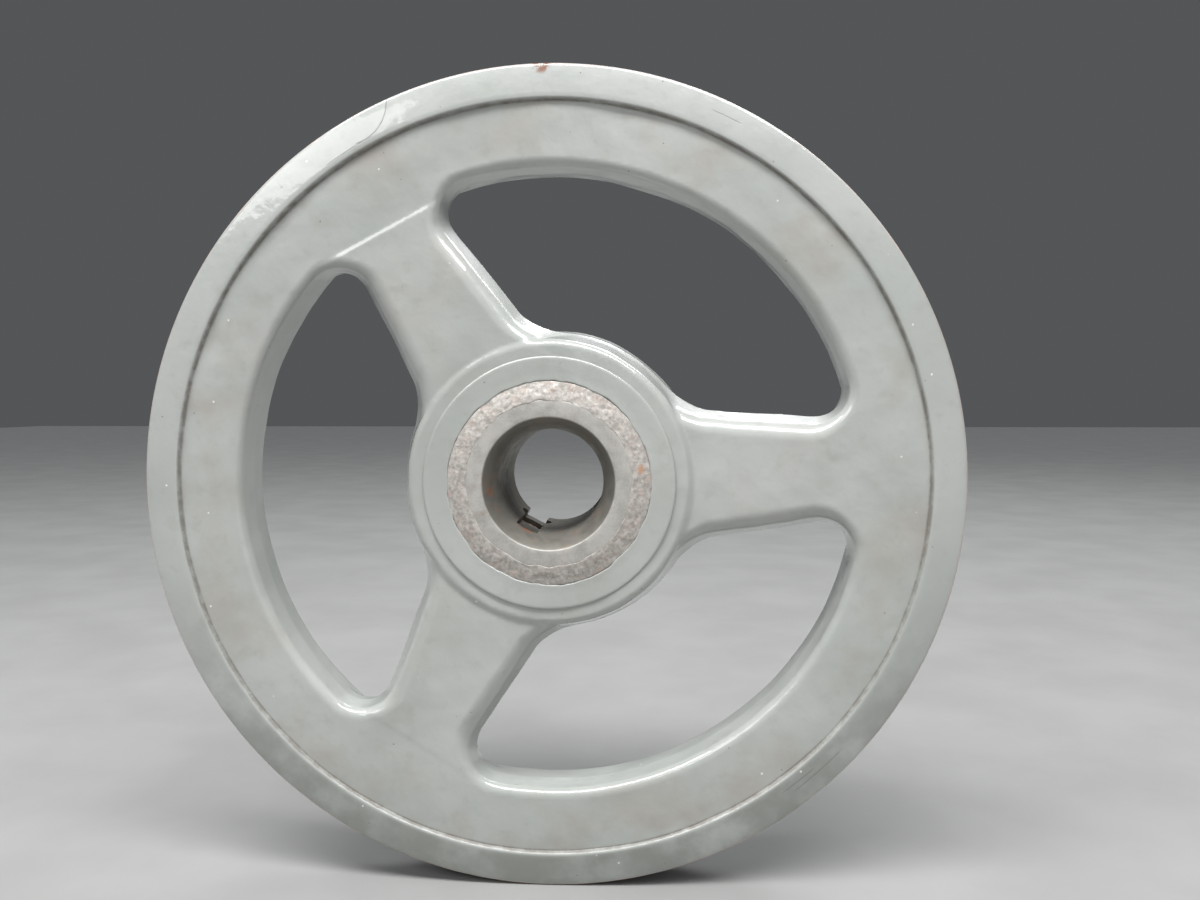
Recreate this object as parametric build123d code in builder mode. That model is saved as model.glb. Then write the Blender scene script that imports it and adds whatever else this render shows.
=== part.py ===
from build123d import *
import math
import os

# Single-groove V-belt pulley with three arms, cast in one piece, with a bush in its bore.
# Millimetres. The pulley's axis is Y, its front is towards -Y, and +Z is up.
# The origin is on the axis, in the middle plane of the belt groove.

# Rim
RIM_D = 222.25
RIM_W = 19.05
RING_INNER_R = 101.2
RING_RISE = 1.0
RING_BEVEL = 1.1
RING_EDGE_CHAMFER = 0.6
RIM_INNER_R = 84.0
RIM_REAR_ROUND = 3.0

# Belt groove, A section
GROOVE_ANGLE = 38.0
GROOVE_TOP_W = 12.55
GROOVE_DEPTH = 12.4

# Arms
ARM_COUNT = 3
ARM_START = 2.6
ARM_MID_R = 62.0
ARM_MID_HALF_W = 15.6
ARM_TAPER = 6.6
ARM_THICK = 14.0
ARM_EDGE_ROUND = 4.0
WINDOW_RIM_FILLET = 11.5
WINDOW_HUB_FILLET = 8.5
RIM_CUT_R = 76.0
HUB_CUT_R = 52.0

# Hub
HUB_R = 41.2
HUB_FACE_R = 34.4
HUB_FACE_RISE = 1.0
HUB_STEP = 1.0
HUB_SHOULDER = 4.3
HUB_REAR_R = 34.6
HUB_REAR_END_R = 33.8
HUB_REAR_LEN = 29.0
HUB_REAR_CHAMFER = 1.2

# Bush and the rough metal around its end
BUSH_R = 22.7
BUSH_RISE = 2.2
BRAZE_R = 27.2
BRAZE_SET_BACK = 0.4
BORE_D = 28.575
MOUTH_R = 17.9
STRAIGHT_START = -1.0
KEY_W = 6.35
KEY_FLOOR_R = 16.2
KEY_END = -4.5
KEY_RAMP = 2.0

# Set screws, 3/8-16 socket with a cup point
SCREW_D = 9.525
SCREW_LEN = 15.875
SCREW_CLEARANCE = 0.05
SCREW_CHAMFER = 0.7
SOCKET_FLATS = 4.763
SOCKET_DEPTH = 5.0
CUP_R = 2.6
CUP_DEPTH = 1.3
SCREW_Y = 18.5
TIP_GAP = 1.0
SIDE_SCREW_TURN = 90.0

half_w = RIM_W / 2
rim_r = RIM_D / 2
bore_r = BORE_D / 2
band_y = -half_w + RING_RISE
arm_back_y = band_y + ARM_THICK
groove_r = rim_r - GROOVE_DEPTH
groove_top = GROOVE_TOP_W / 2
groove_floor = groove_top - GROOVE_DEPTH * math.tan(math.radians(GROOVE_ANGLE / 2))
ring_outer_y = -half_w + RING_BEVEL
hub_face_y = band_y - HUB_FACE_RISE
terrace_y = hub_face_y + HUB_STEP
bush_end_y = hub_face_y - BUSH_RISE
hub_rear_y = HUB_REAR_LEN
arm_slope = math.tan(math.radians(ARM_TAPER))
arm_inner_half_w = ARM_MID_HALF_W + (ARM_MID_R - HUB_R / 2) * arm_slope
arm_outer_half_w = ARM_MID_HALF_W - (rim_r - ARM_MID_R) * arm_slope
key_angle = ARM_START + 2 * 360 / ARM_COUNT
screw_hole_r = SCREW_D / 2 + SCREW_CLEARANCE

os.makedirs("parts", exist_ok=True)


def radial_plane(angle, radius, y):
    """A plane across the radius at this angle, its normal pointing outward."""
    turn = math.radians(angle)
    outward = (math.cos(turn), 0, math.sin(turn))
    origin = (radius * outward[0], y, radius * outward[2])
    return Plane(origin=origin, x_dir=(0, 1, 0), z_dir=outward)


def axial_plane(angle):
    """A plane through the axis at this angle, x along the axis and y outward."""
    turn = math.radians(angle)
    return Plane(origin=(0, 0, 0), x_dir=(0, 1, 0), z_dir=(math.sin(turn), 0, -math.cos(turn)))


# The whole casting: rim ring, web with three windows, and hub
with BuildPart() as casting:
    with BuildSketch(Plane.XY):
        with BuildLine():
            Polyline(
                (BUSH_R, band_y),
                (RING_INNER_R, band_y),
                (RING_INNER_R + RING_RISE / 2, -half_w),
                (rim_r - RING_EDGE_CHAMFER, ring_outer_y),
                (rim_r, ring_outer_y + RING_EDGE_CHAMFER),
                (rim_r, -groove_top),
                (groove_r, -groove_floor),
                (groove_r, groove_floor),
                (rim_r, groove_top),
                (rim_r, -ring_outer_y - RING_EDGE_CHAMFER),
                (rim_r - RING_EDGE_CHAMFER, -ring_outer_y),
                (RING_INNER_R + RING_RISE / 2, half_w),
                (RING_INNER_R, -band_y),
                (RIM_INNER_R + RIM_REAR_ROUND, -band_y),
            )
            RadiusArc(
                (RIM_INNER_R + RIM_REAR_ROUND, -band_y),
                (RIM_INNER_R, -band_y - RIM_REAR_ROUND),
                -RIM_REAR_ROUND,
            )
            Polyline(
                (RIM_INNER_R, -band_y - RIM_REAR_ROUND),
                (RIM_INNER_R, arm_back_y),
                (BUSH_R, arm_back_y),
                (BUSH_R, band_y),
            )
        make_face()
    revolve(axis=Axis.Y)
    # Three windows leave three arms that narrow towards the rim
    with BuildSketch(Plane.XZ) as windows:
        Circle(RIM_INNER_R)
        Circle(HUB_R, mode=Mode.SUBTRACT)
        with PolarLocations(0, ARM_COUNT, start_angle=ARM_START):
            Polygon(
                (HUB_R / 2, -arm_inner_half_w),
                (rim_r, -arm_outer_half_w),
                (rim_r, arm_outer_half_w),
                (HUB_R / 2, arm_inner_half_w),
                align=None,
                mode=Mode.SUBTRACT,
            )
        corners = windows.vertices().sort_by(lambda v: math.hypot(v.X, v.Y))
        fillet(corners[: 2 * ARM_COUNT], WINDOW_HUB_FILLET)
        corners = windows.vertices().sort_by(lambda v: math.hypot(v.X, v.Y))
        fillet(corners[-2 * ARM_COUNT :], WINDOW_RIM_FILLET)
    extrude(amount=RIM_W, both=True, mode=Mode.SUBTRACT)
    front_edges = casting.edges().filter_by_position(Axis.Y, band_y - 0.01, band_y + 0.01)
    window_edges = front_edges.filter_by(
        lambda e: HUB_R - 0.01 < math.hypot(e.position_at(0.5).X, e.position_at(0.5).Z) < RIM_INNER_R + 0.01
    )
    fillet(window_edges, ARM_EDGE_ROUND)
    # Hub, turned over the middle of the web
    with BuildSketch(Plane.XY):
        with BuildLine():
            Polyline(
                (HUB_R, terrace_y + HUB_SHOULDER),
                (HUB_R, arm_back_y - HUB_SHOULDER),
            )
            RadiusArc(
                (HUB_R, arm_back_y - HUB_SHOULDER),
                (HUB_R - HUB_SHOULDER, arm_back_y),
                HUB_SHOULDER,
            )
            Polyline(
                (HUB_R - HUB_SHOULDER, arm_back_y),
                (HUB_REAR_R, arm_back_y),
                (HUB_REAR_END_R, hub_rear_y - HUB_REAR_CHAMFER),
                (HUB_REAR_END_R - HUB_REAR_CHAMFER, hub_rear_y),
                (BUSH_R, hub_rear_y),
                (BUSH_R, hub_face_y),
                (HUB_FACE_R, hub_face_y),
                (HUB_FACE_R + HUB_STEP / 4, terrace_y),
                (HUB_R - HUB_SHOULDER, terrace_y),
            )
            RadiusArc(
                (HUB_R - HUB_SHOULDER, terrace_y),
                (HUB_R, terrace_y + HUB_SHOULDER),
                HUB_SHOULDER,
            )
        make_face()
    revolve(axis=Axis.Y)
    # Tapped holes for the two set screws, modelled at the screw's outside diameter
    for angle in (key_angle, key_angle + SIDE_SCREW_TURN):
        with BuildSketch(radial_plane(angle, BUSH_R / 2, SCREW_Y)):
            Circle(screw_hole_r)
        extrude(amount=HUB_R, mode=Mode.SUBTRACT)

# The casting's zones, each a solid of its own: two flanges, rim, three arms and hub
with BuildPart() as flanges:
    add(casting.part)
    with BuildSketch(Plane.XZ):
        Circle(groove_r)
    extrude(amount=RIM_D, both=True, mode=Mode.SUBTRACT)
flange_solids = flanges.part.solids().sort_by(Axis.Y)

for name, solid in zip(("front_flange", "rear_flange"), flange_solids):
    with BuildPart() as flange:
        add(solid)
    flange.part.label = name
    export_step(flange.part, f"parts/{name}.step")

with BuildPart() as rim:
    add(casting.part)
    with BuildSketch(Plane.XZ):
        Circle(groove_r)
        Circle(RIM_CUT_R, mode=Mode.SUBTRACT)
    extrude(amount=RIM_D, both=True, mode=Mode.INTERSECT)
rim.part.label = "rim"
export_step(rim.part, "parts/rim.step")

with BuildPart() as arms:
    add(casting.part)
    with BuildSketch(Plane.XZ):
        Circle(RIM_CUT_R)
        Circle(HUB_CUT_R, mode=Mode.SUBTRACT)
    extrude(amount=RIM_D, both=True, mode=Mode.INTERSECT)


def turn_from_start(solid):
    """The angle of a solid around the pulley's axis, from the first arm's side."""
    middle = solid.center()
    return (math.degrees(math.atan2(middle.Z, middle.X)) - ARM_START + 1) % 360


for number, solid in enumerate(arms.part.solids().sort_by(turn_from_start), 1):
    with BuildPart() as arm:
        add(solid)
    arm.part.label = f"arm_{number}"
    export_step(arm.part, f"parts/arm_{number}.step")

with BuildPart() as hub:
    add(casting.part)
    with BuildSketch(Plane.XZ):
        Circle(HUB_CUT_R)
    extrude(amount=RIM_D, both=True, mode=Mode.INTERSECT)
hub.part.label = "hub"
export_step(hub.part, "parts/hub.step")

# Bush pressed into the hub. Its bore opens in a bell mouth at the front
with BuildPart() as bore_bush:
    with BuildSketch(Plane.XY):
        with BuildLine():
            mouth_depth = STRAIGHT_START - bush_end_y
            mouth_rise = MOUTH_R - bore_r
            mouth_arc = (mouth_depth**2 + mouth_rise**2) / (2 * mouth_rise)
            RadiusArc((bore_r, STRAIGHT_START), (MOUTH_R, bush_end_y), mouth_arc)
            Polyline(
                (MOUTH_R, bush_end_y),
                (BUSH_R, bush_end_y),
                (BUSH_R, hub_rear_y),
                (bore_r, hub_rear_y),
                (bore_r, STRAIGHT_START),
            )
        make_face()
    revolve(axis=Axis.Y)
    # The keyway runs in from the rear and ends in a ramp short of the bell mouth
    with BuildSketch(axial_plane(key_angle)):
        with BuildLine():
            Polyline(
                (KEY_END, 0),
                (hub_rear_y, 0),
                (hub_rear_y, KEY_FLOOR_R),
                (KEY_END + KEY_RAMP, KEY_FLOOR_R),
                (KEY_END, bore_r),
                (KEY_END, 0),
            )
        make_face()
    extrude(amount=KEY_W / 2, both=True, mode=Mode.SUBTRACT)
    for angle in (key_angle, key_angle + SIDE_SCREW_TURN):
        with BuildSketch(radial_plane(angle, bore_r / 2, SCREW_Y)):
            Circle(screw_hole_r)
        extrude(amount=BUSH_R, mode=Mode.SUBTRACT)
bore_bush.part.label = "bore_bush"
export_step(bore_bush.part, "parts/bore_bush.step")

# Rough ring of braze in the corner between the bush's end and the hub face
with BuildPart() as braze_fillet:
    with BuildSketch(Plane.XY):
        with BuildLine():
            Polyline(
                (BUSH_R, hub_face_y),
                (BRAZE_R, hub_face_y),
                (BUSH_R, bush_end_y + BRAZE_SET_BACK),
                (BUSH_R, hub_face_y),
            )
        make_face()
    revolve(axis=Axis.Y)
braze_fillet.part.label = "braze_fillet"
export_step(braze_fillet.part, "parts/braze_fillet.step")

# Set screws: one over the keyway, one a quarter turn on, backed off clear of the bore
screws = (
    ("key_setscrew", key_angle, KEY_FLOOR_R + TIP_GAP),
    ("side_setscrew", key_angle + SIDE_SCREW_TURN, bore_r + TIP_GAP),
)
for name, angle, tip_r in screws:
    with BuildPart() as setscrew:
        with BuildSketch(radial_plane(angle, tip_r, SCREW_Y)):
            Circle(SCREW_D / 2)
        extrude(amount=SCREW_LEN)
        end_edges = setscrew.edges().filter_by(GeomType.CIRCLE)
        chamfer(end_edges, SCREW_CHAMFER)
        with BuildSketch(radial_plane(angle, tip_r + SCREW_LEN, SCREW_Y)):
            RegularPolygon(SOCKET_FLATS / 2, 6, major_radius=False)
        extrude(amount=-SOCKET_DEPTH, mode=Mode.SUBTRACT)
        with BuildSketch(radial_plane(angle, tip_r, SCREW_Y)):
            Circle(CUP_R)
        with BuildSketch(radial_plane(angle, tip_r + CUP_DEPTH, SCREW_Y)):
            Circle(CUP_R / 4)
        loft(mode=Mode.SUBTRACT)
    setscrew.part.label = name
    export_step(setscrew.part, f"parts/{name}.step")
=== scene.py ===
import math

import bmesh
import bpy
import numpy as np
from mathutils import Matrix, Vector


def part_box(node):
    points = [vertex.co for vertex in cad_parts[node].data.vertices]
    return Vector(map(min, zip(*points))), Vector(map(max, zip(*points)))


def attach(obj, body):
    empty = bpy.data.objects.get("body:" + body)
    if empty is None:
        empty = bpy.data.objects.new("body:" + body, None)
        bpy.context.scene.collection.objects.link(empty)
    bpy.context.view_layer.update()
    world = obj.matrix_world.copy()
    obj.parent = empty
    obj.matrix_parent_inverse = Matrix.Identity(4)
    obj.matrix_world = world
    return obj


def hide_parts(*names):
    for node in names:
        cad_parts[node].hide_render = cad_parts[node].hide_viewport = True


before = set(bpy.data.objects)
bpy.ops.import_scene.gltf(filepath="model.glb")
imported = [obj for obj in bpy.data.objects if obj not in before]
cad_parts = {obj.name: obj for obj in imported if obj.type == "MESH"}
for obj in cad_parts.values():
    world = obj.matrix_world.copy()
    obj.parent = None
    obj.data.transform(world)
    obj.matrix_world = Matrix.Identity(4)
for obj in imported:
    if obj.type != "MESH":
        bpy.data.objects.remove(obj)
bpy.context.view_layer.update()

# The pulley's axis is Y and its front is towards -Y. Shapes are worked out in millimetres
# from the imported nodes' boxes, and go into Blender in metres.
MM = 0.001
TAU = 2 * math.pi


def node_mm(name):
    """Lowest and highest corner of a CAD node, in millimetres."""
    low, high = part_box(name)
    return [v / MM for v in low], [v / MM for v in high]


rim_low, rim_high = node_mm("rim")
flange_low, flange_high = node_mm("front_flange")
hub_low, hub_high = node_mm("hub")
bush_low, bush_high = node_mm("bore_bush")

RIM_R = max(flange_high[0], flange_high[2])
FRONT_Y = flange_low[1]
BAND_Y = rim_low[1]
REAR_BAND_Y = rim_high[1]
GROOVE_FLOOR_R = max(rim_high[0], rim_high[2])
BUSH_R = bush_high[0]
BUSH_END_Y = bush_low[1]
HUB_REAR_Y = hub_high[1]
HUB_FACE_Y = hub_low[1]
BRAZE_R = node_mm("braze_fillet")[1][0]
ARM_BACK_Y = node_mm("arm_1")[1][1]
# Inner radius of the raised ring on each flange, and the machined hub face, whose skin stands
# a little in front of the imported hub
RING_INNER_R = 101.3
HUB_TOP_Y = HUB_FACE_Y - 0.9
# V groove: half its width at the rim, and the slope of its walls
GROOVE_TOP = 12.55 / 2
GROOVE_SLOPE = math.tan(math.radians(19))
# Bore, the mouth it flares to, and the keyway with the ramp where its cutter ran out
BORE_R = 14.2875
MOUTH_R = 17.9
STRAIGHT_START_Y = -1.0
KEY_HALF_W = 3.175
KEY_FLOOR_R = 16.2
KEY_END_Y = -4.5
KEY_RAMP = 2.0

# Plan of the casting
RIM_INNER_R = 84.0
HUB_R = 41.9
HUB_TAPER = 0.26
HUB_WIDEST_Y = 5.0
HUB_TAPER_LENGTH = 16
ARM_START = 2.6
ARM_MID_R = 62.0
ARM_MID_HALF_W = 15.6
ARM_TAPER = math.radians(6.6)
WINDOW_RIM_FILLET = 11.5
WINDOW_HUB_FILLET = 7.0
# Section of the casting: draft and edge rounds, which change from arm to rim between two radii
RIM_DRAFT = math.tan(math.radians(2.5))
ARM_DRAFT = math.tan(math.radians(20))
RIM_EDGE = 2.4
ARM_EDGE = 3.4
ARM_TO_RIM = (70, 84)
EDGE_TO_RIM = (70, 83)
# Hub: a low terrace round the machined face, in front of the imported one, then the shoulder's
# edges and the boss behind
TERRACE_Y = BAND_Y - 1.25
SHOULDER_FRONT_EDGE = 1.6
SHOULDER_BACK_EDGE = 3.4
BOSS_R = 34.6
BOSS_TAPER = 0.04
BOSS_REAR_SINK = 0.4
BOSS_EDGE = 1.3
BOSS_FILLET = 3.0
# The casting's skin stops under the flanges' skin and inside the bush's skin
CASTING_R = 102.6
GROOVE_HALF_GAP = 7.0
UNDER = 1.5
# Set screws and their holes, behind the arms: size 3/8-16, 5/8 in long, with a hexagon socket
SCREW_Y = 18.5
SCREW_R = 4.7625
SCREW_LEN = 15.875
THREAD_PITCH = 1.5875
THREAD_DEPTH = 0.86
SCREW_HOLE_R = 4.8125
SOCKET_HALF_FLATS = 2.38
SOCKET_DEPTH = 5.0
KEY_ANGLE = ARM_START + 240
SIDE_ANGLE = KEY_ANGLE + 90
LINER_R = SCREW_HOLE_R + 0.75
# Each arm's face rises from the band: a small step at the arm's outer end, then a slope that
# is complete ARM_RAMP further in
ARM_PROUD = (0.1, 0.55, 0.15)
ARM_STEP = (0.0, 0.28, 0.12)
ARM_END_R = 80.6
ARM_RAMP = 20.0
ARM_END_SKEW = 0.08
# The band falls away a little towards the ring
CROWN = 0.4
CROWN_START_R = 91
CROWN_WIDTH = 11


# ---------------------------------------------------------------- distance fields
def round_union(a, b, radius):
    """Union of two distances with a round fillet in the corner."""
    u = np.maximum(radius - a, 0)
    v = np.maximum(radius - b, 0)
    return np.maximum(radius, np.minimum(a, b)) - np.hypot(u, v)


def round_cut(a, b, radius):
    """What both distances hold, with the outer corner rounded."""
    u = np.maximum(radius + a, 0)
    v = np.maximum(radius + b, 0)
    return np.minimum(-radius, np.maximum(a, b)) + np.hypot(u, v)


def step(value, low, high):
    """0 below low, 1 above high, smooth between."""
    t = np.clip((value - low) / (high - low), 0, 1)
    return t * t * (3 - 2 * t)


class Lumps:
    """Smooth seeded waviness of a cast surface: a sum of waves with mixed directions."""

    def __init__(self, seed, wavelength, size, count=14):
        rng = np.random.default_rng(seed)
        direction = rng.normal(size=(count, 3))
        direction /= np.linalg.norm(direction, axis=1)[:, None]
        wave = wavelength * rng.uniform(0.7, 1.6, count)
        self.k = direction * (TAU / wave)[:, None]
        self.phase = rng.uniform(0, TAU, count)
        self.size = size / math.sqrt(count / 2)

    def __call__(self, x, y, z):
        total = np.zeros_like(x)
        for k, phase in zip(self.k, self.phase):
            total += np.sin(k[0] * x + k[1] * y + k[2] * z + phase)
        return total * self.size


cast_lumps = Lumps(3, 26.0, 0.10)
cast_ripple = Lumps(5, 9.0, 0.035)


def arm_axes(x, z):
    """For each arm, the distance along it from the pulley's axis, and across it."""
    for number in range(3):
        turn = math.radians(ARM_START + 120 * number)
        yield x * math.cos(turn) + z * math.sin(turn), -x * math.sin(turn) + z * math.cos(turn)


def hub_radius(y):
    """Radius of the hub's cast side, which widens towards the rear."""
    return HUB_R - HUB_TAPER * np.clip(HUB_WIDEST_Y - y, 0, HUB_TAPER_LENGTH)


def plan_distance(x, y, z):
    """Distance in plan to the edge of the metal between the windows; negative in the metal."""
    r = np.hypot(x, z)
    arms = np.full_like(r, 1e3)
    for along, across in arm_axes(x, z):
        half_w = ARM_MID_HALF_W - (along - ARM_MID_R) * math.tan(ARM_TAPER)
        side = (np.abs(across) - half_w) * math.cos(ARM_TAPER)
        arms = np.minimum(arms, np.maximum(side, -along))
    spider = round_union(arms, RIM_INNER_R - r, WINDOW_RIM_FILLET)
    return round_union(spider, r - hub_radius(y), WINDOW_HUB_FILLET)


def front_height(x, z, r):
    """How far the cast front face stands proud of the band's plane, towards the viewer."""
    proud = np.zeros_like(r)
    for (along, across), most, rise in zip(arm_axes(x, z), ARM_PROUD, ARM_STEP):
        inward = ARM_END_R + ARM_END_SKEW * across - along
        on_arm = step(24 - np.abs(across), 0, 6) * (along > 0)
        proud += on_arm * (most * np.clip(inward / ARM_RAMP, 0, 1) + rise * step(inward, -0.8, 0.9))
    crown = -CROWN * np.clip((r - CROWN_START_R) / CROWN_WIDTH, 0, 1) ** 2
    return proud + crown


def casting_distance(x, y, z):
    """Distance to the casting's skin, without its machined flanges and bush."""
    r = np.hypot(x, z)
    draft = np.abs(y) * (ARM_DRAFT + (RIM_DRAFT - ARM_DRAFT) * step(r, *ARM_TO_RIM))
    # Web: arms, band and the hub's root, with larger edge rounds on the arms than on the rim
    edge = ARM_EDGE - (ARM_EDGE - RIM_EDGE) * step(r, *EDGE_TO_RIM)
    front = BAND_Y - front_height(x, z, r) - y
    web = round_cut(plan_distance(x, y, z) + draft, np.maximum(front, y - ARM_BACK_Y), edge)
    # The rim runs on behind the arms
    rim_back = np.maximum(front, y - REAR_BAND_Y)
    rim = round_cut(RIM_INNER_R - r + np.abs(y) * RIM_DRAFT, rim_back, RIM_EDGE)
    body = np.minimum(web, rim)
    # Hub shoulder, a low terrace round the machined face, and the boss behind it
    side = (r - hub_radius(y)) * 0.968
    shoulder = round_cut(side, TERRACE_Y - y, SHOULDER_FRONT_EDGE)
    shoulder = round_cut(shoulder, y - ARM_BACK_Y - 1.0, SHOULDER_BACK_EDGE)
    body = round_union(body, shoulder, 1.0)
    boss_side = r - BOSS_R + BOSS_TAPER * (y - ARM_BACK_Y)
    boss = round_cut(boss_side, y - HUB_REAR_Y + BOSS_REAR_SINK, BOSS_EDGE)
    boss = np.maximum(boss, -y)
    body = round_union(body, boss, BOSS_FILLET)
    body = body + cast_lumps(x, y, z) + cast_ripple(x, y, z)
    # Room for the flanges, which are turned and separate, and for the bush
    body = np.maximum(body, r - CASTING_R)
    groove_gap = np.minimum(r - (GROOVE_FLOOR_R - UNDER), GROOVE_HALF_GAP - np.abs(y))
    body = np.maximum(body, groove_gap)
    body = np.maximum(body, BUSH_R - UNDER - r)
    for angle in (KEY_ANGLE, SIDE_ANGLE):
        turn = math.radians(angle)
        outward = x * math.cos(turn) + z * math.sin(turn)
        across = z * math.cos(turn) - x * math.sin(turn)
        hole = np.hypot(across, y - SCREW_Y) - (LINER_R - 0.25)
        body = np.maximum(body, np.where(outward > 0, -hole, body))
    return body


# ---------------------------------------------------------------- meshes
def grid_corners(values, cells):
    """Field values at the eight corners of each listed cell."""
    i, j, k = cells
    return np.stack(
        [values[i + a, j + b, k + c] for a in (0, 1) for b in (0, 1) for c in (0, 1)], axis=1
    )


def surface_net(field, low, high, pitch):
    """Quads along the zero level of a field, one vertex in each cell that it crosses."""
    axes = [np.arange(a, b + pitch, pitch, dtype=np.float64) for a, b in zip(low, high)]
    grid = np.meshgrid(*axes, indexing="ij")
    values = field(*grid).astype(np.float32)
    inside = values < 0
    count = np.zeros([n - 1 for n in inside.shape], np.int8)
    for a in (0, 1):
        for b in (0, 1):
            for c in (0, 1):
                window = tuple(slice(s, s + n) for s, n in zip((a, b, c), count.shape))
                count += inside[window]
    cells = np.nonzero((count > 0) & (count < 8))
    corner = grid_corners(values, cells)
    offsets = np.array([(a, b, c) for a in (0, 1) for b in (0, 1) for c in (0, 1)], float)
    total = np.zeros((len(cells[0]), 3))
    hits = np.zeros(len(cells[0]))
    for p in range(8):
        for q in range(p + 1, 8):
            if np.abs(offsets[p] - offsets[q]).sum() != 1:
                continue
            crossed = (corner[:, p] < 0) != (corner[:, q] < 0)
            t = corner[crossed, p] / (corner[crossed, p] - corner[crossed, q])
            total[crossed] += offsets[p] + t[:, None] * (offsets[q] - offsets[p])
            hits[crossed] += 1
    base = np.stack([axes[n][cells[n]] for n in range(3)], axis=1)
    points = base + total / hits[:, None] * pitch
    number = np.full(count.shape, -1, np.int32)
    number[cells] = np.arange(len(points))
    quads = []
    for axis in range(3):
        one, two = [n for n in range(3) if n != axis]
        lower = [slice(None)] * 3
        upper = [slice(None)] * 3
        lower[axis] = slice(0, -1)
        upper[axis] = slice(1, None)
        first, second = inside[tuple(lower)], inside[tuple(upper)]
        for rising in (False, True):
            hit = np.nonzero((first == rising) & (second != rising))
            ring = []
            for da, db in ((0, 0), (-1, 0), (-1, -1), (0, -1)):
                at = list(hit)
                at[one] = hit[one] + da
                at[two] = hit[two] + db
                ring.append(number[tuple(at)])
            quad = np.stack(ring, axis=1)
            flip = rising == (axis != 1)
            quads.append(quad if flip else quad[:, ::-1])
    return points, np.concatenate(quads)


def onto_field(field, points, rounds):
    """Moves points to the zero level along the field's gradient."""
    h = 0.02
    for _ in range(rounds):
        here = field(*points.T)
        slope = np.stack(
            [
                (field(*(points + h * axis).T) - field(*(points - h * axis).T)) / (2 * h)
                for axis in np.eye(3)
            ],
            axis=1,
        )
        size = np.maximum((slope**2).sum(axis=1), 0.05)
        points = points - slope * np.clip(here / size, -0.5, 0.5)[:, None]
    return points


def relax(field, points, quads, rounds):
    """Evens out the quads on the zero level."""
    a = quads.ravel()
    b = np.roll(quads, -1, axis=1).ravel()
    near = np.concatenate([a, b])
    far = np.concatenate([b, a])
    degree = np.bincount(near, minlength=len(points))[:, None]
    for _ in range(rounds):
        mean = np.stack(
            [np.bincount(near, weights=points[far, n], minlength=len(points)) for n in range(3)],
            axis=1,
        ) / degree
        points = onto_field(field, points + 0.6 * (mean - points), 1)
    return onto_field(field, points, 2)


def field_normals(field, points):
    """Unit normals of the zero level, taken from the field for smoother shading."""
    h = 0.12
    slope = np.stack(
        [field(*(points + h * axis).T) - field(*(points - h * axis).T) for axis in np.eye(3)],
        axis=1,
    )
    return slope / np.maximum(np.linalg.norm(slope, axis=1), 1e-6)[:, None]


def new_mesh(name, points, faces, material, sharp=None):
    """A smooth-shaded mesh object from points in millimetres, its normals facing outward."""
    mesh = bpy.data.meshes.new(name)
    mesh.from_pydata((np.asarray(points) * MM).tolist(), [], [list(face) for face in faces])
    mesh.validate()
    form = bmesh.new()
    form.from_mesh(mesh)
    bmesh.ops.recalc_face_normals(form, faces=form.faces)
    form.to_mesh(mesh)
    form.free()
    mesh.polygons.foreach_set("use_smooth", [True] * len(mesh.polygons))
    if sharp:
        mesh.set_sharp_from_angle(angle=math.radians(sharp))
    obj = bpy.data.objects.new(name, mesh)
    bpy.context.scene.collection.objects.link(obj)
    mesh.materials.append(material)
    return obj


def sheet(points, wrap_rows=False):
    """Flattened points and quads of a grid whose rows are closed rings of points."""
    rows, columns = points.shape[:2]
    i = np.arange(rows if wrap_rows else rows - 1)[:, None]
    j = np.arange(columns)[None, :]
    k = (i + 1) % rows
    m = (j + 1) % columns
    quads = np.stack([i * columns + j, i * columns + m, k * columns + m, k * columns + j], axis=2)
    return points.reshape(-1, 3), quads.reshape(-1, 4)


def value_noise(points, size, seed):
    """Smooth seeded noise from -1 to 1, with features of this size."""
    at = points / size
    cell = np.floor(at).astype(np.int64)
    part = at - cell
    part = part * part * (3 - 2 * part)
    total = np.zeros(len(points))
    for corner in np.ndindex(2, 2, 2):
        key = (cell + corner) @ np.array([374761393, 668265263, 2147483647]) + seed * 974634777
        key = (key ^ (key >> 13)) * 1274126177
        value = ((key ^ (key >> 16)) & 0xFFFF) / 32767.5 - 1
        total += value * np.prod(np.where(corner, part, 1 - part), axis=1)
    return total


def radial_points(angle, y, along, across, outward):
    """Points by distances along the axis, across, and outward, round a hole at this angle."""
    turn = math.radians(angle)
    return np.stack(
        [
            outward * math.cos(turn) - across * math.sin(turn),
            y + along,
            outward * math.sin(turn) + across * math.cos(turn),
        ],
        axis=-1,
    )


def screw_rows(rows, columns, angle, y):
    """Grid of points from rows of (outward distance, radius by turn)."""
    turn = np.linspace(0, TAU, columns, endpoint=False)
    outward = np.array([np.broadcast_to(w, columns) for w, _ in rows])
    radius = np.array([np.broadcast_to(r, columns) for _, r in rows])
    return radial_points(angle, y, radius * np.cos(turn), radius * np.sin(turn), outward)


def thread_wave(outward, columns):
    """0 in the root and 1 on the crest of a thread, round one ring of points."""
    turn = np.linspace(0, 1, columns, endpoint=False)
    phase = (outward / THREAD_PITCH + turn) % 1
    return np.clip(1.6 * (1 - np.abs(2 * phase - 1)) - 0.2, 0, 1)


def drill(obj, cutters):
    """Cuts other objects out of this one, and removes them."""
    for cutter in cutters:
        cut = obj.modifiers.new("cut", "BOOLEAN")
        cut.operation = "DIFFERENCE"
        cut.solver = "EXACT"
        cut.object = cutter
    depsgraph = bpy.context.evaluated_depsgraph_get()
    shaped = bpy.data.meshes.new_from_object(obj.evaluated_get(depsgraph))
    shaped.name = obj.name
    obj.modifiers.clear()
    obj.data = shaped
    for cutter in cutters:
        bpy.data.objects.remove(cutter)


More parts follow.
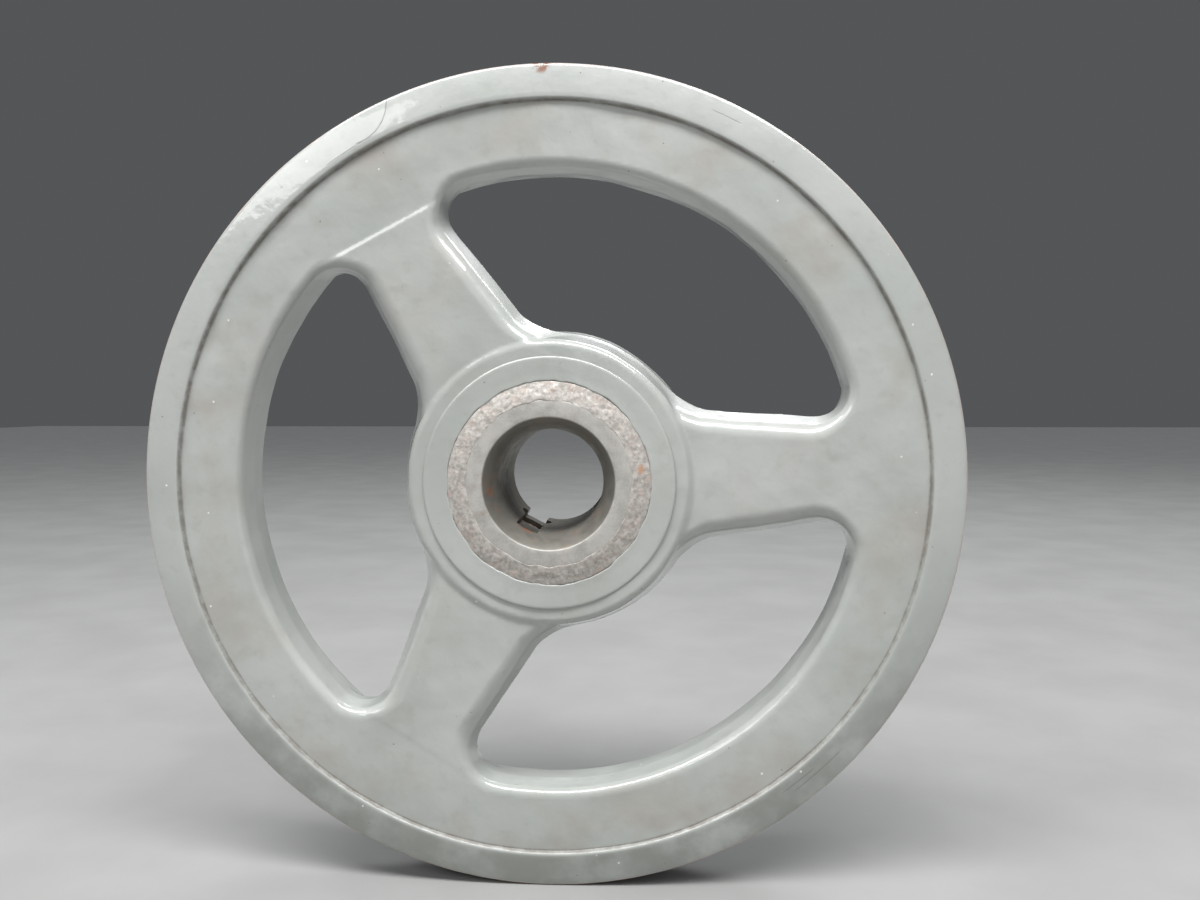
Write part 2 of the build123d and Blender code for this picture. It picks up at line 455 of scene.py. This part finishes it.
def lathe(profile, segments, bend=None):
    """Points and quads of a closed profile of (r, y) turned round the Y axis."""
    profile = np.asarray(profile, float)
    turn = np.linspace(0, TAU, segments, endpoint=False)
    r = np.repeat(profile[:, 0][None, :], segments, axis=0)
    y = np.repeat(profile[:, 1][None, :], segments, axis=0)
    a = np.repeat(turn[:, None], len(profile), axis=1)
    if bend:
        r, y = bend(r, y, a)
    points = np.stack([r * np.cos(a), y, r * np.sin(a)], axis=2).reshape(-1, 3)
    n = len(profile)
    i = np.arange(segments)[:, None]
    j = np.arange(n)[None, :]
    k = (i + 1) % segments
    m = (j + 1) % n
    quads = np.stack([i * n + j, k * n + j, k * n + m, i * n + m], axis=2).reshape(-1, 4)
    return points, quads


# ---------------------------------------------------------------- materials
class Graph:
    """Short calls that add shader nodes to one material and join them."""

    def __init__(self, name):
        self.material = bpy.data.materials.new(name)
        self.material.use_nodes = True
        self.tree = self.material.node_tree
        self.shader = self.tree.nodes["Principled BSDF"]
        place = self.add("ShaderNodeTexCoord")
        # Object coordinates in millimetres
        self.place = self.vector("SCALE", place.outputs["Object"], scale=1 / MM)
        self.x, self.y, self.z = self.add("ShaderNodeSeparateXYZ", {0: self.place}).outputs
        self.r = self.math("SQRT", self.math("ADD", self.square(self.x), self.square(self.z)))

    def add(self, kind, inputs=None, **settings):
        """A new node with its inputs linked or set, and its settings."""
        node = self.tree.nodes.new(kind)
        for key, value in settings.items():
            setattr(node, key, value)
        for key, value in (inputs or {}).items():
            if isinstance(value, bpy.types.NodeSocket):
                self.tree.links.new(value, node.inputs[key])
            else:
                node.inputs[key].default_value = value
        return node

    def math(self, operation, a, b=0.0, clamp=False):
        """One operation on one or two values."""
        node = self.add("ShaderNodeMath", {0: a, 1: b}, operation=operation, use_clamp=clamp)
        return node.outputs[0]

    def square(self, a):
        """A value times itself."""
        return self.math("MULTIPLY", a, a)

    def vector(self, operation, a, b=(0, 0, 0), scale=1.0):
        """One operation on one or two vectors, or on a vector and a scale."""
        node = self.add("ShaderNodeVectorMath", {0: a}, operation=operation)
        if operation == "SCALE":
            node.inputs[3].default_value = scale
        elif isinstance(b, bpy.types.NodeSocket):
            self.tree.links.new(b, node.inputs[1])
        else:
            node.inputs[1].default_value = b
        return node.outputs[1 if operation == "DISTANCE" else 0]

    def noise(self, size, detail=3.0, rough=0.55, stretch=(1, 1, 1), shift=0.0):
        """Fractal noise from 0 to 1 with features of this size in millimetres."""
        at = self.vector("MULTIPLY", self.place, tuple(v / size for v in stretch))
        at = self.vector("ADD", at, (shift, shift * 0.7, -shift))
        return self.add(
            "ShaderNodeTexNoise", {"Vector": at, "Scale": 1.0, "Detail": detail, "Roughness": rough}
        ).outputs["Fac"]

    def ramp(self, value, low, high, start=0.0, end=1.0):
        """Goes smoothly from start to end as value goes from low to high."""
        return self.add(
            "ShaderNodeMapRange",
            {"Value": value, "From Min": low, "From Max": high, "To Min": start, "To Max": end},
            interpolation_type="SMOOTHSTEP",
        ).outputs[0]

    def band(self, value, middle, half_width, soft):
        """1 where value is within half_width of middle, and 0 past soft beyond that."""
        away = self.math("ABSOLUTE", self.math("SUBTRACT", value, middle))
        return self.ramp(away, half_width, half_width + soft, 1.0, 0.0)

    def curve(self, centre, radius, half_width):
        """1 on a thin circle in the XZ plane."""
        x, z = self.math("SUBTRACT", self.x, centre[0]), self.math("SUBTRACT", self.z, centre[1])
        away = self.math("SQRT", self.math("ADD", self.square(x), self.square(z)))
        return self.band(away, radius, half_width, half_width)

    def near(self, spot, radius, soft):
        """1 within radius of a spot, in millimetres, and 0 past soft beyond that."""
        return self.ramp(self.vector("DISTANCE", self.place, spot), radius, radius + soft, 1.0, 0.0)

    def product(self, *values):
        """All the values multiplied together."""
        total = values[0]
        for value in values[1:]:
            total = self.math("MULTIPLY", total, value)
        return total

    def mix(self, factor, a, b):
        """Colour a where the factor is 0, and b where it is 1."""
        node = self.add("ShaderNodeMix", {0: factor}, data_type="RGBA")
        for socket, value in ((node.inputs[6], a), (node.inputs[7], b)):
            if isinstance(value, bpy.types.NodeSocket):
                self.tree.links.new(value, socket)
            else:
                socket.default_value = (*value, 1)
        return node.outputs[2]

    def set(self, **inputs):
        """Sets or links inputs of the material's shader by name."""
        for key, value in inputs.items():
            name = key.replace("_", " ")
            if isinstance(value, bpy.types.NodeSocket):
                self.tree.links.new(value, self.shader.inputs[name])
            else:
                self.shader.inputs[name].default_value = value

    def bump(self, height, distance_mm, strength=1.0, under=None):
        """A normal bent by this height, on top of another bump if one is given."""
        inputs = {"Height": height, "Distance": distance_mm * MM, "Strength": strength}
        if under:
            inputs["Normal"] = under
        return self.add("ShaderNodeBump", inputs).outputs[0]


def srgb(red, green, blue):
    """Linear colour of an 8-bit sRGB one."""
    parts = [v / 255 for v in (red, green, blue)]
    return tuple(v / 12.92 if v <= 0.04045 else ((v + 0.055) / 1.055) ** 2.4 for v in parts)


def on_rim(angle, radius, y):
    """A point at this angle, in degrees anticlockwise from +X as seen from the front."""
    turn = math.radians(angle)
    return radius * math.cos(turn), y, radius * math.sin(turn)


def painted(name):
    """Thick grey-green enamel over cast iron, with dirt, painted shade in the corner under the raised
    ring and towards the ring's bottom, rust at knocks, and orange peel.
    """
    g = Graph(name)
    color = g.mix(g.ramp(g.noise(38, 2.0), 0.35, 0.68), srgb(160, 163, 159), srgb(169, 171, 168))
    color = g.mix(g.ramp(g.noise(4.5, 4.0, shift=4), 0.52, 0.75, 0, 0.35), color, srgb(146, 148, 140))
    # Brown dust lies in smears on the band. The thin dark brownish line in the corner under the raised
    # ring is partly dust and partly painted shade
    on_front = g.ramp(g.y, BAND_Y + 3, BAND_Y + 1, 0, 1.0)
    smear = g.product(
        g.ramp(g.noise(24, 5.0, 0.6, shift=9), 0.42, 0.7),
        g.ramp(g.r, 82, 97, 0.35, 1.0),
        g.ramp(g.r, 101.0, 101.6, 1.0, 0.12),
        on_front,
        0.6,
    )
    color = g.mix(smear, color, srgb(150, 142, 134))
    # Painted shade mixed with dust: a thin dark line along the corner under the raised ring
    corner = g.product(
        g.band(g.r, RING_INNER_R - 0.05, 0.12, 0.6),
        g.ramp(g.noise(4, 4.0, 0.7, shift=2), 0.36, 0.6, 0.35, 1.0),
        on_front,
        0.62,
    )
    color = g.mix(corner, color, srgb(104, 96, 88))
    # Painted shade: the ring is darker, in blotches, towards its bottom where it faces the ground
    low_ring = g.product(g.ramp(g.z, -15, -90), g.ramp(g.r, 101.6, 102.6))
    bottom_ring_shade = g.product(low_ring, g.ramp(g.noise(14, 4.0), 0.2, 0.6))
    color = g.mix(g.product(bottom_ring_shade, 0.7), color, srgb(112, 115, 108))
    # Scratches in the ring: one curls in from the edge and runs on round, others are short
    scratch = g.product(
        g.curve((-54.0, 100.5), 10.75, 0.09), g.ramp(g.x, -51.5, -50.5), g.ramp(g.r, 101.4, 102)
    )
    for angle, away, half_length in ((121, 103.2, 6), (-47, 106.2, 7), (-50, 104.6, 4), (64, 107, 3)):
        turn = math.radians(angle)
        middle = (away * math.cos(turn), FRONT_Y, away * math.sin(turn))
        run = g.product(g.curve((0, 0), away, 0.07), g.near(middle, half_length, 2))
        scratch = g.math("MAXIMUM", scratch, run)
    scratch = g.product(scratch, g.ramp(g.y, FRONT_Y + 3, FRONT_Y + 2))
    color = g.mix(g.product(scratch, 0.6), color, srgb(96, 98, 94))
    # Knocks on the outer edges show primer and iron
    edge = g.product(
        g.ramp(g.r, RIM_R - 0.75, RIM_R - 0.25),
        g.ramp(g.noise(7, 4.0, 0.7, shift=5), 0.40, 0.62, 0.15, 0.8),
    )
    color = g.mix(edge, color, srgb(190, 168, 160))
    # White and dark specks
    for size, tint, shift in ((9.0, srgb(222, 224, 222), 0.0), (6.0, srgb(96, 92, 84), 31.0)):
        at = g.vector("ADD", g.vector("SCALE", g.place, scale=1 / size), (shift, shift, shift))
        cell = g.add("ShaderNodeTexVoronoi", {"Vector": at, "Scale": 1.0}).outputs["Distance"]
        color = g.mix(g.ramp(cell, 0.022, 0.045, 0.8, 0.0), color, tint)
    rust = g.product(
        g.near(on_rim(91.0, RIM_R - 0.4, FRONT_Y + 1.6), 1.6, 1.6),
        g.ramp(g.noise(1.6, 4.0, shift=7), 0.40, 0.55),
    )
    color = g.mix(rust, color, srgb(122, 78, 56))
    rough = g.ramp(g.noise(12, 4.0, 0.6, shift=3), 0.3, 0.75, 0.30, 0.46)
    # The dust and the painted corner shade also make the paint rougher and give it less coat
    dust_and_corner_shade = g.math("ADD", smear, corner)
    rough = g.math("ADD", rough, g.product(dust_and_corner_shade, 0.3), clamp=True)
    sag = g.bump(g.noise(7.0, 2.0, 0.4, shift=8), 0.3, 0.35)
    peel = g.bump(g.noise(2.6, 2.0, 0.45), 0.10, 0.75, under=sag)
    cut = g.bump(g.math("SUBTRACT", 1, scratch), 0.1, 0.6, under=peel)
    grain = g.bump(g.noise(0.9, 3.0, 0.6, shift=6), 0.03, 0.45, under=cut)
    g.set(Base_Color=color, Roughness=rough, Normal=grain)
    g.set(Coat_Weight=g.ramp(dust_and_corner_shade, 0.1, 0.9, 1.0, 0.25), Coat_Roughness=0.09, Coat_Normal=cut)
    return g.material


def bush_metal(name):
    """Dull turned steel with light rust, and painted shade darkening the bore's wall."""
    g = Graph(name)
    turned = g.noise(0.5, 3.0, 0.6, stretch=(1, 0.15, 1), shift=1)
    color = g.mix(g.ramp(g.noise(6, 4.0, 0.6), 0.35, 0.7), srgb(186, 183, 178), srgb(163, 160, 154))
    color = g.mix(g.ramp(turned, 0.4, 0.7, 0, 0.4), color, srgb(198, 196, 192))
    # Painted shade: the wall of the bore is darker from just inside the mouth to the rear
    inside = g.product(g.ramp(g.r, 18.2, 17.6), g.ramp(g.y, BUSH_END_Y + 0.15, BUSH_END_Y + 0.5))
    color = g.mix(g.product(inside, 0.85), color, srgb(106, 103, 95))
    stain = g.ramp(g.noise(7, 5.0, 0.65, shift=12), 0.55, 0.72, 0, 0.5)
    color = g.mix(stain, color, srgb(150, 120, 100))
    rust = g.math("ADD", g.near(on_rim(188, 17.2, BUSH_END_Y + 3.5), 0.6, 2.0), key_rust(g))
    rust = g.product(rust, g.ramp(g.noise(1.3, 4.0, shift=3), 0.35, 0.6, 0.3, 1.0))
    color = g.mix(rust, color, srgb(168, 104, 62))
    g.set(
        Base_Color=color,
        Metallic=0.5,
        Roughness=g.ramp(g.noise(3, 4.0, shift=8), 0.3, 0.7, 0.42, 0.62),
        Normal=g.bump(turned, 0.03, 0.5),
    )
    return g.material


def key_rust(g):
    """Rust where the keyway's cutter ran out."""
    turn = math.radians(KEY_ANGLE)
    spot = (15.6 * math.cos(turn), KEY_END_Y + 2.0, 15.6 * math.sin(turn))
    return g.near(spot, 2.2, 2.0)


def rough_metal(name):
    """Bare lumpy metal, bright on the high spots, with rust flecks in the low ones."""
    g = Graph(name)
    outer = g.ramp(g.r, BUSH_R - 0.5, 25.2, 0.25, 1.0)
    color = g.mix(g.ramp(g.noise(1.1, 4.0, 0.65), 0.36, 0.64), srgb(158, 152, 146), srgb(189, 184, 178))
    fleck = g.product(g.ramp(g.noise(2.2, 5.0, 0.7, shift=5), 0.52, 0.68, 0, 0.6), outer)
    color = g.mix(fleck, color, srgb(180, 156, 145))
    dark = g.product(g.ramp(g.noise(0.8, 4.0, 0.6, shift=15), 0.58, 0.72, 0, 0.6), outer)
    color = g.mix(dark, color, srgb(128, 122, 114))
    spot = g.product(
        g.near(on_rim(9, 25.0, HUB_TOP_Y - 0.5), 0.4, 1.4),
        g.ramp(g.noise(1.0, 3.0, shift=6), 0.35, 0.6, 0.2, 0.8),
    )
    color = g.mix(spot, color, srgb(192, 138, 104))
    g.set(
        Base_Color=color,
        Metallic=0.25,
        Roughness=g.ramp(g.noise(0.9, 3.0, shift=2), 0.3, 0.7, 0.42, 0.65),
        Normal=g.bump(g.product(g.noise(0.45, 4.0, 0.7), outer), 0.10, 0.6),
    )
    return g.material


def black_oxide(name):
    """Black oxide screw with rust in the thread."""
    g = Graph(name)
    color = g.mix(g.ramp(g.noise(1.5, 4.0, 0.6), 0.45, 0.68), srgb(52, 50, 48), srgb(108, 74, 52))
    color = g.mix(g.ramp(g.r, 19.5, 18.5), color, srgb(140, 112, 88))
    g.set(
        Base_Color=color,
        Metallic=g.ramp(g.r, 18.5, 19.5, 0.2, 0.8),
        Roughness=g.ramp(g.noise(1.0, 3.0, shift=4), 0.3, 0.7, 0.38, 0.65),
        Normal=g.bump(g.noise(0.4, 3.0), 0.03, 0.5),
    )
    return g.material


def floor_material(name):
    """Plain pale floor with the faintest mottling."""
    g = Graph(name)
    color = g.mix(g.ramp(g.noise(60, 4.0), 0.3, 0.7), (0.27, 0.27, 0.265), (0.30, 0.30, 0.295))
    g.set(Base_Color=color, Roughness=0.75)
    return g.material


paint = painted("paint")
steel = bush_metal("bush_steel")
braze_metal = rough_metal("braze")
screw_steel = black_oxide("screw_steel")

for node, material in (
    ("bore_bush", steel),
    ("braze_fillet", braze_metal),
    ("key_setscrew", screw_steel),
    ("side_setscrew", screw_steel),
):
    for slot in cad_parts[node].material_slots:
        slot.material = material

# ---------------------------------------------------------------- casting
reach = 104.0
pitch = 0.8
net, net_quads = surface_net(
    casting_distance, (-reach, BAND_Y - 2, -reach), (reach, HUB_REAR_Y + 2, reach), pitch
)
net = relax(casting_distance, net, net_quads, 6)
casting = new_mesh("casting", net, net_quads, paint)
casting.data.normals_split_custom_set_from_vertices(field_normals(casting_distance, net).tolist())
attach(casting, "pulley")
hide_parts("rim", "arm_1", "arm_2", "arm_3", "hub")


# ---------------------------------------------------------------- flanges
GROOVE_FLOOR = GROOVE_TOP - (RIM_R - GROOVE_FLOOR_R) * GROOVE_SLOPE

front_half = [
    (GROOVE_FLOOR_R - 3, BAND_Y + 0.9),
    (RING_INNER_R - 0.2, BAND_Y + 0.9),
    (RING_INNER_R, BAND_Y + 0.1),
    (RING_INNER_R + 0.15, FRONT_Y + 0.45),
    (RING_INNER_R + 0.4, FRONT_Y + 0.1),
    (RING_INNER_R + 0.8, FRONT_Y + 0.02),
    (RING_INNER_R + 2.0, FRONT_Y + 0.17),
    (RING_INNER_R + 4.5, FRONT_Y + 0.58),
    (RING_INNER_R + 7.0, FRONT_Y + 1.05),
    (RIM_R - 0.9, FRONT_Y + 1.50),
    (RIM_R - 0.5, FRONT_Y + 1.62),
    (RIM_R - 0.15, FRONT_Y + 1.90),
    (RIM_R, FRONT_Y + 2.3),
    (RIM_R, -GROOVE_TOP - 0.35),
    (RIM_R - 0.12, -GROOVE_TOP - 0.08),
    (RIM_R - 0.4, -GROOVE_TOP + 0.14),
    (RIM_R - 4, -GROOVE_TOP + 4 * GROOVE_SLOPE),
    (RIM_R - 8, -GROOVE_TOP + 8 * GROOVE_SLOPE),
    (GROOVE_FLOOR_R + 0.5, -GROOVE_FLOOR - 0.5 * GROOVE_SLOPE),
    (GROOVE_FLOOR_R + 0.1, -GROOVE_FLOOR + 0.05),
    (GROOVE_FLOOR_R, -GROOVE_FLOOR + 0.4),
]
flange_profile = front_half + [(r, -y) for r, y in reversed(front_half)]
ring_points, ring_quads = lathe(flange_profile, 720)
flanges = new_mesh("flanges", ring_points, ring_quads, paint)
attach(flanges, "pulley")
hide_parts("front_flange", "rear_flange")


# ---------------------------------------------------------------- hub face and braze
face_profile = [
    (BRAZE_R + 0.05, HUB_TOP_Y + 3.0),
    (BRAZE_R + 0.05, HUB_TOP_Y + 0.3),
    (BRAZE_R + 0.1, HUB_TOP_Y + 0.08),
    (BRAZE_R + 0.25, HUB_TOP_Y - 0.04),
    (BRAZE_R + 0.5, HUB_TOP_Y - 0.06),
    (BRAZE_R + 0.9, HUB_TOP_Y),
    (30.0, HUB_TOP_Y),
    (32.9, HUB_TOP_Y),
    (33.4, HUB_TOP_Y + 0.02),
    (33.75, HUB_TOP_Y + 0.12),
    (33.95, HUB_TOP_Y + 0.35),
    (34.05, HUB_TOP_Y + 1.2),
    (34.1, HUB_TOP_Y + 3.0),
]


def uneven_film(r, y, turn):
    """Moves the paint's inner edge in and out as it runs round the braze."""
    # Read on a ring smaller than the real one, so that the waves come out longer
    ring = 12 * np.stack([np.cos(turn), np.sin(turn), 0 * turn], axis=-1)
    spots = ring.reshape(-1, 3)
    wave = (value_noise(spots, 1.7, 21) + 0.5 * value_noise(spots, 0.7, 22)).reshape(r.shape)
    return r + 0.28 * wave * (r < BRAZE_R + 1.0), y


face_points, face_quads = lathe(face_profile, 720, uneven_film)
hub_face = new_mesh("hub_face", face_points, face_quads, paint)
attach(hub_face, "pulley")

BEAD_TOP_Y = BUSH_END_Y + 0.10
# Size, height and seed of each layer of lumps in the braze
BEAD_LUMPS = ((4.5, 0.16, 31), (1.8, 0.12, 32), (0.9, 0.08, 33), (0.5, 0.03, 34))
bead_rows = 30
slant = np.linspace(0, 1, bead_rows)
bead_profile = [(BUSH_R - 0.8, HUB_TOP_Y + 1.5), (BUSH_R - 0.8, BEAD_TOP_Y + 0.25)]
bead_width = BRAZE_R + 0.6 - BUSH_R
bead_drop = HUB_TOP_Y - BEAD_TOP_Y + 0.12
bead_profile += [(BUSH_R - 0.5 + bead_width * t, BEAD_TOP_Y + bead_drop * t**1.3) for t in slant]
bead_profile += [(BRAZE_R + 0.2, HUB_TOP_Y + 1.5)]


def lumpy_bead(r, y, turn):
    """Raises and pits the cone of braze as if it had been melted on and filed."""
    points = np.stack([r * np.cos(turn), y, r * np.sin(turn)], axis=-1).reshape(-1, 3)
    wave = sum(
        height * value_noise(points, size, seed)
        for size, height, seed in BEAD_LUMPS
    ).reshape(r.shape)
    free = np.zeros(r.shape[1])
    free[2:-1] = np.sin(np.pi * np.clip(slant * 0.9 + 0.08, 0, 1)) ** 0.5
    inner = np.zeros(r.shape[1])
    inner[1:-1] = np.clip(1 - slant * 3, 0, 1)[[0, *range(bead_rows)]]
    ragged = value_noise(points, 2.6, 35).reshape(r.shape) * 0.7 * inner
    wave = np.minimum(wave, 0.3) * free
    return r + 0.3 * wave + ragged, np.maximum(y - 0.85 * wave, BUSH_END_Y + 0.04)


bead_points, bead_quads = lathe(bead_profile, 1080, lumpy_bead)
bead = new_mesh("braze_ring", bead_points, bead_quads, braze_metal)
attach(bead, "pulley")
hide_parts("braze_fillet")

# ---------------------------------------------------------------- bush
flare_depth = STRAIGHT_START_Y - BUSH_END_Y
flare_rise = MOUTH_R - BORE_R
flare_radius = (flare_depth**2 + flare_rise**2) / (2 * flare_rise)


def bore_profile(y):
    """Radius of the bore: straight at the rear, flared in an arc towards the mouth."""
    into = np.maximum(STRAIGHT_START_Y - y, 0)
    return BORE_R + flare_radius - math.sqrt(flare_radius**2 - into**2)


bore_stations = np.concatenate(
    [
        np.arange(HUB_REAR_Y - 1.0, STRAIGHT_START_Y, -1.5),
        np.arange(STRAIGHT_START_Y, BUSH_END_Y + 0.3, -0.5),
    ]
)
bush_profile = [(BORE_R + 0.45, HUB_REAR_Y), (BORE_R + 0.05, HUB_REAR_Y - 0.4)]
bush_profile += [(bore_profile(y), y) for y in bore_stations]
bush_profile += [
    (MOUTH_R - 0.05, BUSH_END_Y + 0.17),
    (MOUTH_R + 0.05, BUSH_END_Y + 0.05),
    (MOUTH_R + 0.22, BUSH_END_Y),
    (MOUTH_R + 1.2, BUSH_END_Y + 0.02),
    (MOUTH_R + 2.6, BUSH_END_Y + 0.06),
    (MOUTH_R + 4.0, BUSH_END_Y + 0.12),
    (BUSH_R - 0.3, BUSH_END_Y + 0.2),
    (BUSH_R, BUSH_END_Y + 0.4),
    (BUSH_R, HUB_REAR_Y - 0.5),
    (BUSH_R - 0.5, HUB_REAR_Y),
]
# Columns of the grid fall on the keyway's walls and corners
wall = math.degrees(math.asin(KEY_HALF_W / BORE_R))
corner = math.degrees(math.atan(KEY_HALF_W / KEY_FLOOR_R))
beside_key = [wall, (wall + corner) / 2, corner, corner * 0.97, corner / 2]
round_key = [-v for v in beside_key] + [0] + beside_key[::-1]
round_key += np.arange(wall + 0.3, 360 - wall, 1.25).tolist()
from_key = np.sort(np.mod(round_key, 360))
bush_turn = np.radians(from_key + KEY_ANGLE)
off_key = np.radians((from_key + 180) % 360 - 180)
rows = []
for r, y in bush_profile:
    floor_r = BORE_R + (KEY_FLOOR_R - BORE_R) * np.clip((y - KEY_END_Y) / KEY_RAMP, 0, 1)
    across = np.maximum(np.abs(np.sin(off_key)), 1e-6)
    key_r = np.minimum(floor_r / np.cos(off_key), KEY_HALF_W / across)
    in_key = (np.abs(off_key) <= math.radians(wall) + 1e-6) & (KEY_END_Y < y) & (r < KEY_FLOOR_R)
    ring_r = np.where(in_key, np.maximum(r, key_r), r)
    rows.append(np.stack([ring_r * np.cos(bush_turn), 0 * ring_r + y, ring_r * np.sin(bush_turn)], -1))
bush = new_mesh("bush", *sheet(np.array(rows), wrap_rows=True), steel)
# The set-screw holes are cut through the bush's wall
ROD_COLUMNS = 64
cutters = []
for angle in (KEY_ANGLE, SIDE_ANGLE):
    rod = screw_rows([(12.0, SCREW_HOLE_R), (BUSH_R + 2, SCREW_HOLE_R)], ROD_COLUMNS, angle, SCREW_Y)
    points, quads = sheet(rod)
    ends = [list(range(ROD_COLUMNS)), list(range(ROD_COLUMNS, 2 * ROD_COLUMNS))]
    cutters.append(new_mesh("cutter", points, quads.tolist() + ends, steel))
drill(bush, cutters)
bush.data.set_sharp_from_angle(angle=math.radians(32))
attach(bush, "pulley")
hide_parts("bore_bush")

# ---------------------------------------------------------------- set screws and their holes
COLUMNS = 96
THREAD_STEP = THREAD_PITCH / 8
ring_turn = np.linspace(0, TAU, COLUMNS, endpoint=False)
sixth = TAU / 6
hex_r = SOCKET_HALF_FLATS / np.cos((ring_turn % sixth) - sixth / 2)

for name, angle, tip, body in (
    ("key", KEY_ANGLE, KEY_FLOOR_R + 1.0, "key_screw"),
    ("side", SIDE_ANGLE, BORE_R + 1.0, "side_screw"),
):
    # Threaded wall of the hole, out to a small chamfer that follows the boss
    boss_out = BOSS_R - BOSS_TAPER * (SCREW_Y - ARM_BACK_Y)
    rows = []
    for w in np.arange(BUSH_R - 0.1, boss_out - 1.4, THREAD_STEP):
        rows.append((w, SCREW_HOLE_R + 0.6 * (1 - thread_wave(w, COLUMNS))))
    for r, sink in ((SCREW_HOLE_R + 0.62, 0.75), (LINER_R - 0.1, 0.42), (LINER_R + 0.1, 0.38)):
        rows.append((np.sqrt(boss_out**2 - (r * np.sin(ring_turn)) ** 2) - sink, r))
    rows.append((BUSH_R - 0.1, LINER_R + 0.1))
    grid = screw_rows(rows, COLUMNS, angle, SCREW_Y)
    liner = new_mesh(f"{name}_thread", *sheet(grid, wrap_rows=True), steel, sharp=50)
    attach(liner, "pulley")

    # Screw: cup point, thread that fades out at both ends, chamfer and hexagon socket
    end = tip + SCREW_LEN
    cup = [(tip + 1.3, 0.25), (tip + 0.9, 1.2), (tip + 0.15, 2.45), (tip, 2.7), (tip + 0.05, 2.95)]
    cup.append((tip + 0.35, 3.3))
    thread = []
    for w in np.arange(tip + 0.7, end - 0.3, THREAD_STEP):
        fade = step(w, tip + 0.5, tip + 1.3) * (1 - step(w, end - 0.9, end - 0.2))
        limit = min(SCREW_R, 3.6 + (w - tip), 4.2 + (end - w))
        depth = THREAD_DEPTH * (1 - thread_wave(w, COLUMNS) * fade)
        thread.append((w, np.minimum(SCREW_R - depth, limit)))
    rows = cup + thread + [(end - 0.12, 3.85), (end, 3.6), (end, 3.1)]
    rows += [(end, hex_r + 0.22), (end - 0.18, hex_r), (end - 1.5, hex_r)]
    rows += [(end - SOCKET_DEPTH + 0.5, hex_r), (end - SOCKET_DEPTH, hex_r * 0.9)]
    rows += [(end - SOCKET_DEPTH - 0.8, 0.3)]
    points, quads = sheet(screw_rows(rows, COLUMNS, angle, SCREW_Y))
    ends = [list(range(COLUMNS)), list(range(len(points) - COLUMNS, len(points)))]
    screw = new_mesh(f"{name}_screw_body", points, quads.tolist() + ends, screw_steel, sharp=35)
    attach(screw, body)
    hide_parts(f"{name}_setscrew")

# ---------------------------------------------------------------- stage, light, camera
floor_z = -RIM_R
bpy.ops.mesh.primitive_plane_add(size=6, location=(0, 1.5, floor_z * MM))
floor = bpy.context.object
floor.name = "floor"
floor.data.materials.append(floor_material("floor_pale"))

world = bpy.data.worlds.new("studio")
bpy.context.scene.world = world
world.use_nodes = True
# Bright above and dim below, like a room lit from its ceiling
sky = world.node_tree
direction = sky.nodes.new("ShaderNodeTexCoord")
split = sky.nodes.new("ShaderNodeSeparateXYZ")
rise = sky.nodes.new("ShaderNodeMapRange")
rise.interpolation_type = "SMOOTHSTEP"
for socket, value in (("From Min", 0.38), ("From Max", 0.62), ("To Min", 0.11), ("To Max", 0.7)):
    rise.inputs[socket].default_value = value
sky.links.new(direction.outputs["Generated"], split.inputs[0])
sky.links.new(split.outputs["Z"], rise.inputs["Value"])
sky.links.new(rise.outputs[0], sky.nodes["Background"].inputs["Strength"])
sky.nodes["Background"].inputs["Color"].default_value = (0.80, 0.83, 0.86, 1)


def area_light(name, place, size, power):
    """A soft rectangular light that points at the pulley's middle."""
    data = bpy.data.lights.new(name, "AREA")
    data.shape = "RECTANGLE"
    data.size, data.size_y = size
    data.energy = power
    light = bpy.data.objects.new(name, data)
    light.location = place
    light.rotation_euler = (-Vector(place)).to_track_quat("-Z", "Y").to_euler()
    bpy.context.scene.collection.objects.link(light)


area_light("top", (-0.05, -0.42, 1.0), (1.5, 0.3), 23)
area_light("glare", (-0.62, -0.72, 0.62), (0.5, 0.3), 2.3)
area_light("rear", (0.45, 0.80, 1.15), (0.8, 0.5), 7)
area_light("front", (0.5, -1.1, 0.1), (1.2, 1.2), 3)

bpy.context.scene.view_settings.view_transform = "Standard"

# Close in front, a little to the right of the hub and above it
LENS = 29.1
CAMERA_PLACE = (24.9, FRONT_Y - 257.9, 22.4)
CAMERA_FORWARD = (-0.0435, 1.0, -0.0521)
camera_data = bpy.data.cameras.new("camera")
camera_data.sensor_width = 36.0
camera_data.lens = LENS
camera_data.clip_start = 0.01
camera = bpy.data.objects.new("camera", camera_data)
camera.location = Vector(CAMERA_PLACE) * MM
camera.rotation_euler = Vector(CAMERA_FORWARD).to_track_quat("-Z", "Y").to_euler()
bpy.context.scene.collection.objects.link(camera)
bpy.context.scene.camera = camera
